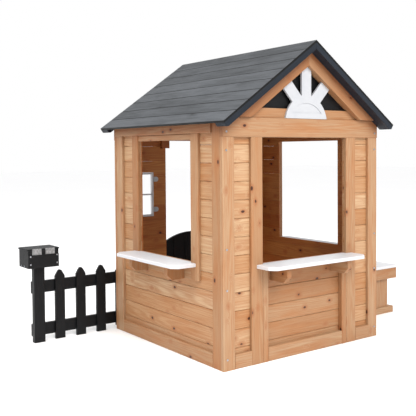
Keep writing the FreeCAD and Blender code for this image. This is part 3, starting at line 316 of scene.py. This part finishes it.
def cedar(name, grain, light=FRAME_LIGHT):
    """Light stained softwood with growth rings, orange streaks and dark knots, with shade painted in inside
    the cabin and under the eaves.
    """
    net = Net(name)
    along, across, through, chance = board_place(net, grain)
    core, halo = knots(net, along, across, through, *CEDAR_KNOTS)
    bands, fibres = grain_lines(net, along, across, through, halo)
    color = net.mix(1.0, board_tones(net, chance), light, "MULTIPLY")
    streak_place = net.vector(net.math("MULTIPLY", along, 0.12), across, through)
    streaks = net.spread(net.noise(streak_place, 30.0, 2.0, 0.55), 0.42, 0.78)
    color = net.mix(net.math("MULTIPLY", streaks, 0.55), color, rgb(210, 134, 72))
    color = net.mix(net.math("MULTIPLY", bands, 0.36), color, rgb(196, 122, 64))
    color = net.mix(net.spread(fibres, 0.42, 0.75, 0.0, 0.36), color, rgb(172, 102, 54))
    color = net.mix(net.math("MULTIPLY", halo, 0.5), color, rgb(186, 104, 52))
    color = net.mix(net.math("MULTIPLY", core, 0.95), color, rgb(72, 30, 16))
    color = net.mix(net.math("MULTIPLY", end_grain(net, grain), 0.4), color, rgb(176, 112, 64))
    # Painted shade: the cabin's inner faces are darkened to a warm brown, where the walls would shade them.
    interior_shade = net.math("MULTIPLY", painted_interior_shade(net), 0.9)
    color = net.mix(interior_shade, color, rgb(250, 190, 112, light=1.0), "MULTIPLY")
    # Painted shade: the wood darkens close under the roof's plane, where the eaves would shade it.
    color = net.mix(painted_eave_shade(net), color, rgb(196, 158, 126, light=1.0), "MULTIPLY")
    height = net.math("ADD", net.math("MULTIPLY", fibres, 0.6), net.math("MULTIPLY", bands, -0.4))
    height = net.math("SUBTRACT", height, net.math("MULTIPLY", core, 1.2))
    roughness = net.math("ADD", net.spread(fibres, 0.3, 0.7, 0.5, 0.64), net.math("MULTIPLY", core, -0.15))
    return net.finish(color, roughness, net.bump(height, 0.0006, 0.6), Specular_IOR_Level=0.35)


def stained(name, grain, dark, light, worn, roughness, painted_top_sheen=None):
    """Wood under an opaque stain: the grain shows as relief and as faint lighter fibres.

    The last argument, when given, holds the darkest and palest tone of a painted sheen on the faces that
    look up, standing in for light glancing off them.
    """
    net = Net(name)
    along, across, through, chance = board_place(net, grain)
    core, halo = knots(net, along, across, through, *STAINED_KNOTS)
    bands, fibres = grain_lines(net, along, across, through, halo)
    color = net.mix(chance, dark, light)
    patches = net.noise(net.vector(net.math("MULTIPLY", along, 0.3), across, through), 9.0, 3.0, 0.6)
    color = net.mix(net.spread(patches, 0.35, 0.75, 0.0, 0.45), color, light)
    color = net.mix(net.spread(fibres, 0.5, 0.8, 0.0, 0.4), color, worn)
    color = net.mix(net.math("MULTIPLY", halo, 0.35), color, dark)
    color = net.mix(net.math("MULTIPLY", core, 0.6), color, dark)
    height = net.math("ADD", fibres, net.math("MULTIPLY", bands, -0.5))
    height = net.math("SUBTRACT", height, net.math("MULTIPLY", core, 0.8))
    shine = net.spread(fibres, 0.3, 0.7, roughness - 0.06, roughness + 0.1)
    normal = net.bump(height, 0.0007, 0.7)
    # Painted sheen: faces that look up are lightened to a streaked grey, standing in for light glancing off
    # them; knots stay dark.
    if painted_top_sheen is not None:
        up = net.split(net.node("NewGeometry").outputs["True Normal"])[2]
        long_place = net.vector(net.math("MULTIPLY", along, 0.1), across, through)
        long_marks = net.noise(long_place, 60.0, 3.0, 0.65)
        wear_and_sheen_marks = net.spread(net.math("MULTIPLY", net.math("ADD", long_marks, patches), 0.5), 0.36, 0.62)
        top = net.mix(net.math("MULTIPLY", net.math("ADD", wear_and_sheen_marks, chance), 0.5), *painted_top_sheen)
        top = net.mix(net.math("MULTIPLY", halo, 0.5), top, painted_top_sheen[0])
        top = net.mix(net.math("MULTIPLY", core, 0.8), top, dark)
        color = net.mix(net.spread(up, 0.5, 0.78), color, top)
    return net.finish(color, shine, normal, Specular_IOR_Level=0.22)


def cedar_siding(name, grain):
    """The thinner boards of the walls, which are a little paler than the frames."""
    return cedar(name, grain, SIDING_LIGHT)


def black_stain(name, grain):
    """Near black stain, as on the fence, the mailbox and the half door."""
    return stained(name, grain, rgb(6, 7, 10), rgb(11, 13, 17), rgb(32, 36, 43), 0.5)


def rake_stain(name, grain):
    """The same stain on planed battens, with a bluish sheen painted into its colour where light would
    glance off them.
    """
    return stained(name, grain, rgb(27, 34, 44), rgb(36, 44, 55), rgb(60, 70, 84), 0.42)


def roof_stain(name, grain):
    """Charcoal boards whose upper faces carry a painted grey sheen with wear-like streaks, and whose edges
    stay black.
    """
    painted_top_sheen = rgb(42, 46, 50), rgb(100, 104, 110)
    return stained(name, grain, rgb(3, 3, 4), rgb(6, 7, 9), rgb(18, 20, 24), 0.5, painted_top_sheen)


def white_paint(name, grain):
    """Satin white paint on wood: faint grain, brush marks and a few soft scuffs."""
    net = Net(name)
    along, across, through, chance = board_place(net, grain)
    core, halo = knots(net, along, across, through, *PAINTED_KNOTS)
    bands, fibres = grain_lines(net, along, across, through, halo)
    color = net.mix(chance, rgb(243, 244, 249, LIGHT_ON_SHELVES), rgb(248, 248, 251, LIGHT_ON_SHELVES))
    brush = net.noise(net.vector(net.math("MULTIPLY", along, 0.08), across, through), 160.0, 3.0, 0.6)
    strokes = net.spread(brush, 0.4, 0.75, 0.0, 0.25)
    color = net.mix(strokes, color, rgb(230, 232, 240, LIGHT_ON_SHELVES))
    color = net.mix(net.math("MULTIPLY", core, 0.12), color, rgb(220, 206, 184))
    height = net.math("ADD", net.math("MULTIPLY", brush, 0.7), net.math("MULTIPLY", fibres, 0.3))
    height = net.math("ADD", height, net.math("MULTIPLY", bands, 0.12))
    return net.finish(color, net.spread(brush, 0.3, 0.7, 0.34, 0.46), net.bump(height, 0.0003, 0.5))


# ------------------------------------------------------------------ plastic and metal
def white_plastic():
    """Moulded plastic: a fine pebbled skin, faint flow marks and a little dust."""
    net = Net("white_plastic")
    place = net.place()
    pebble = net.noise(place, 1800.0, 1.0, 0.5)
    flow = net.noise(place, 14.0, 3.0, 0.55)
    color = net.mix(net.spread(flow, 0.35, 0.7), rgb(232, 234, 239), rgb(224, 227, 233))
    roughness = net.spread(flow, 0.3, 0.7, 0.36, 0.48)
    return net.finish(color, roughness, net.bump(pebble, 0.00008, 0.5))


def label_plastic():
    """Grey plastic with a fine brushed skin and rubbed patches."""
    net = Net("label_grey")
    place = net.place()
    x, y, z = net.split(place)
    brushed = net.noise(net.vector(net.math("MULTIPLY", x, 0.05), y, z), 1500.0, 2.0, 0.5)
    rubbed = net.noise(place, 90.0, 3.0, 0.6)
    color = net.mix(net.spread(rubbed, 0.4, 0.7), rgb(150, 150, 150), rgb(200, 200, 202))
    color = net.mix(net.spread(brushed, 0.45, 0.7, 0.0, 0.5), color, rgb(108, 108, 110))
    return net.finish(color, net.spread(brushed, 0.3, 0.7, 0.35, 0.55), net.bump(brushed, 0.0001, 0.5))


def black_metal():
    """Powder coated steel: an orange peel skin with small rubbed spots."""
    net = Net("black_metal")
    place = net.place()
    peel = net.noise(place, 1300.0, 2.0, 0.5)
    rubs = net.noise(place, 160.0, 4.0, 0.65)
    color = net.mix(net.spread(rubs, 0.62, 0.75), rgb(34, 34, 37), rgb(92, 93, 97))
    roughness = net.spread(peel, 0.35, 0.65, 0.36, 0.5)
    return net.finish(color, roughness, net.bump(peel, 0.00012, 0.5))


def zinc_steel():
    """Zinc plated screws: a bright uneven skin with darker stains."""
    net = Net("zinc_steel")
    place = net.place()
    stains = net.noise(place, 380.0, 4.0, 0.65)
    scratches = net.noise(place, 2600.0, 2.0, 0.5)
    color = net.mix(net.spread(stains, 0.4, 0.7), rgb(236, 240, 248), rgb(176, 182, 194))
    roughness = net.spread(stains, 0.35, 0.7, 0.28, 0.45)
    return net.finish(color, roughness, net.bump(scratches, 0.00004, 0.4), Metallic=1.0)


def floor_paper():
    """Plain pale studio paper."""
    net = Net("floor_paper")
    place = net.place()
    tooth = net.noise(place, 900.0, 2.0, 0.5)
    clouds = net.noise(place, 0.6, 2.0, 0.5)
    color = net.mix(clouds, rgb(251, 251, 252, light=1.0), rgb(254, 254, 254, light=1.0))
    return net.finish(color, net.spread(tooth, 0.3, 0.7, 0.85, 0.95))


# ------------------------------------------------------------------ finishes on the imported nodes
def grain_of(node):
    """The direction of the grain of a node's boards, upright unless a list says otherwise."""
    if node in ALONG_X:
        return "X"
    if node in ALONG_Y:
        return "Y"
    if node in ON_SLOPE:
        return "SLOPE"
    return "Z"


def number_boards():
    """Geometry nodes that join each board's split corners and give each board a random number.

    Returns the node group and the name of its Seed input.
    """
    group = bpy.data.node_groups.new("number_boards", "GeometryNodeTree")
    for way in ("INPUT", "OUTPUT"):
        group.interface.new_socket("Geometry", in_out=way, socket_type="NodeSocketGeometry")
    seed = group.interface.new_socket("Seed", in_out="INPUT", socket_type="NodeSocketInt")
    source = group.nodes.new("NodeGroupInput")
    joined = group.nodes.new("GeometryNodeMergeByDistance")
    joined.inputs["Distance"].default_value = WELD_DISTANCE
    unshaded = group.nodes.new("GeometryNodeRemoveAttribute")
    unshaded.inputs["Name"].default_value = "custom_normal"
    island = group.nodes.new("GeometryNodeInputMeshIsland")
    chance = group.nodes.new("FunctionNodeRandomValue")
    store = group.nodes.new("GeometryNodeStoreNamedAttribute")
    store.inputs["Name"].default_value = BOARD_CHANCE
    target = group.nodes.new("NodeGroupOutput")
    value = [socket for socket in store.inputs if socket.name == "Value" and socket.enabled][0]
    number = [socket for socket in chance.outputs if socket.enabled][0]
    for start, end in (
        (source.outputs["Geometry"], joined.inputs["Geometry"]),
        (joined.outputs["Geometry"], unshaded.inputs["Geometry"]),
        (unshaded.outputs["Geometry"], store.inputs["Geometry"]),
        (island.outputs["Island Index"], chance.inputs["ID"]),
        (source.outputs["Seed"], chance.inputs["Seed"]),
        (number, value),
        (store.outputs["Geometry"], target.inputs["Geometry"]),
    ):
        group.links.new(start, end)
    return group, seed.identifier


def soften(thing, boards, seed_name, seed):
    """Numbers a wooden node's boards and rounds their edges."""
    numbered = thing.modifiers.new("boards", "NODES")
    numbered.node_group = boards
    numbered[seed_name] = seed
    bevel = thing.modifiers.new("edges", "BEVEL")
    bevel.width = EDGE_RADIUS
    bevel.segments = 2
    bevel.limit_method = "ANGLE"
    bevel.angle_limit = EDGE_ANGLE


def finish_nodes():
    """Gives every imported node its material, and the boards softly rounded edges."""
    makers = {
        "cedar": cedar,
        "cedar_siding": cedar_siding,
        "black_stain": black_stain,
        "rake_stain": rake_stain,
        "roof_stain": roof_stain,
        "white_paint": white_paint,
    }
    plain = {
        "white_plastic": white_plastic(),
        "label_grey": label_plastic(),
        "black_metal": black_metal(),
        "zinc_steel": zinc_steel(),
    }
    made = {}
    boards, seed_name = number_boards()
    for seed, subpart in enumerate(frame["record"]["subparts"]):
        node, slot = subpart["node"], subpart["material_slot"]
        if slot in makers:
            look = LOOKS.get(node, slot)
            key = (look, grain_of(node))
            if key not in made:
                made[key] = makers[look](f"{look}_{key[1].lower()}", key[1])
            material = made[key]
        else:
            material = plain[slot]
        thing = frame["nodes"][node]
        thing.data.materials.clear()
        thing.data.materials.append(material)
        if slot in WOODS:
            soften(thing, boards, seed_name, seed)


# ------------------------------------------------------------------ the studio
def make_floor():
    """A wide sheet of paper just under the part."""
    half = FLOOR_SIZE / 2
    level = CAD_BOX[0][2] - FLOOR_DROP
    corners = [(-half, -half, level), (half, -half, level), (half, half, level), (-half, half, level)]
    mesh = bpy.data.meshes.new("studio_floor")
    mesh.from_pydata(corners, [], [(0, 1, 2, 3)])
    mesh.materials.append(floor_paper())
    floor = bpy.data.objects.new("studio_floor", mesh)
    bpy.context.scene.collection.objects.link(floor)


def add_panel(name, place, target, size, power, color):
    """A rectangular softbox that faces a point."""
    light = bpy.data.lights.new(name, "AREA")
    light.shape = "RECTANGLE"
    light.size, light.size_y = size
    light.energy = power
    light.color = color
    panel = bpy.data.objects.new(name, light)
    panel.location = place
    panel.rotation_euler = (target - place).to_track_quat("-Z", "Y").to_euler()
    bpy.context.scene.collection.objects.link(panel)


def light_studio():
    """An even white world and the softboxes."""
    world = bpy.data.worlds.new("studio")
    world.use_nodes = True
    background = world.node_tree.nodes["Background"]
    background.inputs["Color"].default_value = (1.0, 1.0, 1.0, 1.0)
    background.inputs["Strength"].default_value = WORLD_STRENGTH
    bpy.context.scene.world = world
    middle = HOUSE_CORNER + LIT_POINT
    for name, offset, size, power, color in PANELS:
        add_panel(name, middle + offset, middle, size, power, color)


def add_camera():
    """A camera set back from the near corner of the house, turned and rolled by small angles."""
    toward = Vector((math.sin(CAMERA_YAW), math.cos(CAMERA_YAW), 0)) * math.cos(CAMERA_PITCH)
    toward.z = math.sin(CAMERA_PITCH)
    right = Vector((math.cos(CAMERA_YAW), -math.sin(CAMERA_YAW), 0))
    up = right.cross(toward)
    rolled_right = right * math.cos(CAMERA_ROLL) + up * math.sin(CAMERA_ROLL)
    rolled_up = up * math.cos(CAMERA_ROLL) - right * math.sin(CAMERA_ROLL)
    turn = Matrix((rolled_right, rolled_up, -toward)).transposed()
    data = bpy.data.cameras.new("camera")
    data.sensor_width = CAMERA_SENSOR
    data.lens = CAMERA_LENS
    data.shift_x, data.shift_y = CAMERA_SHIFT
    camera = bpy.data.objects.new("camera", data)
    camera.matrix_world = Matrix.Translation(HOUSE_CORNER + CAMERA_OFFSET) @ turn.to_4x4()
    bpy.context.scene.collection.objects.link(camera)
    bpy.context.scene.camera = camera


bpy.context.scene.view_settings.view_transform = "Standard"
finish_nodes()
make_floor()
light_studio()
add_camera()
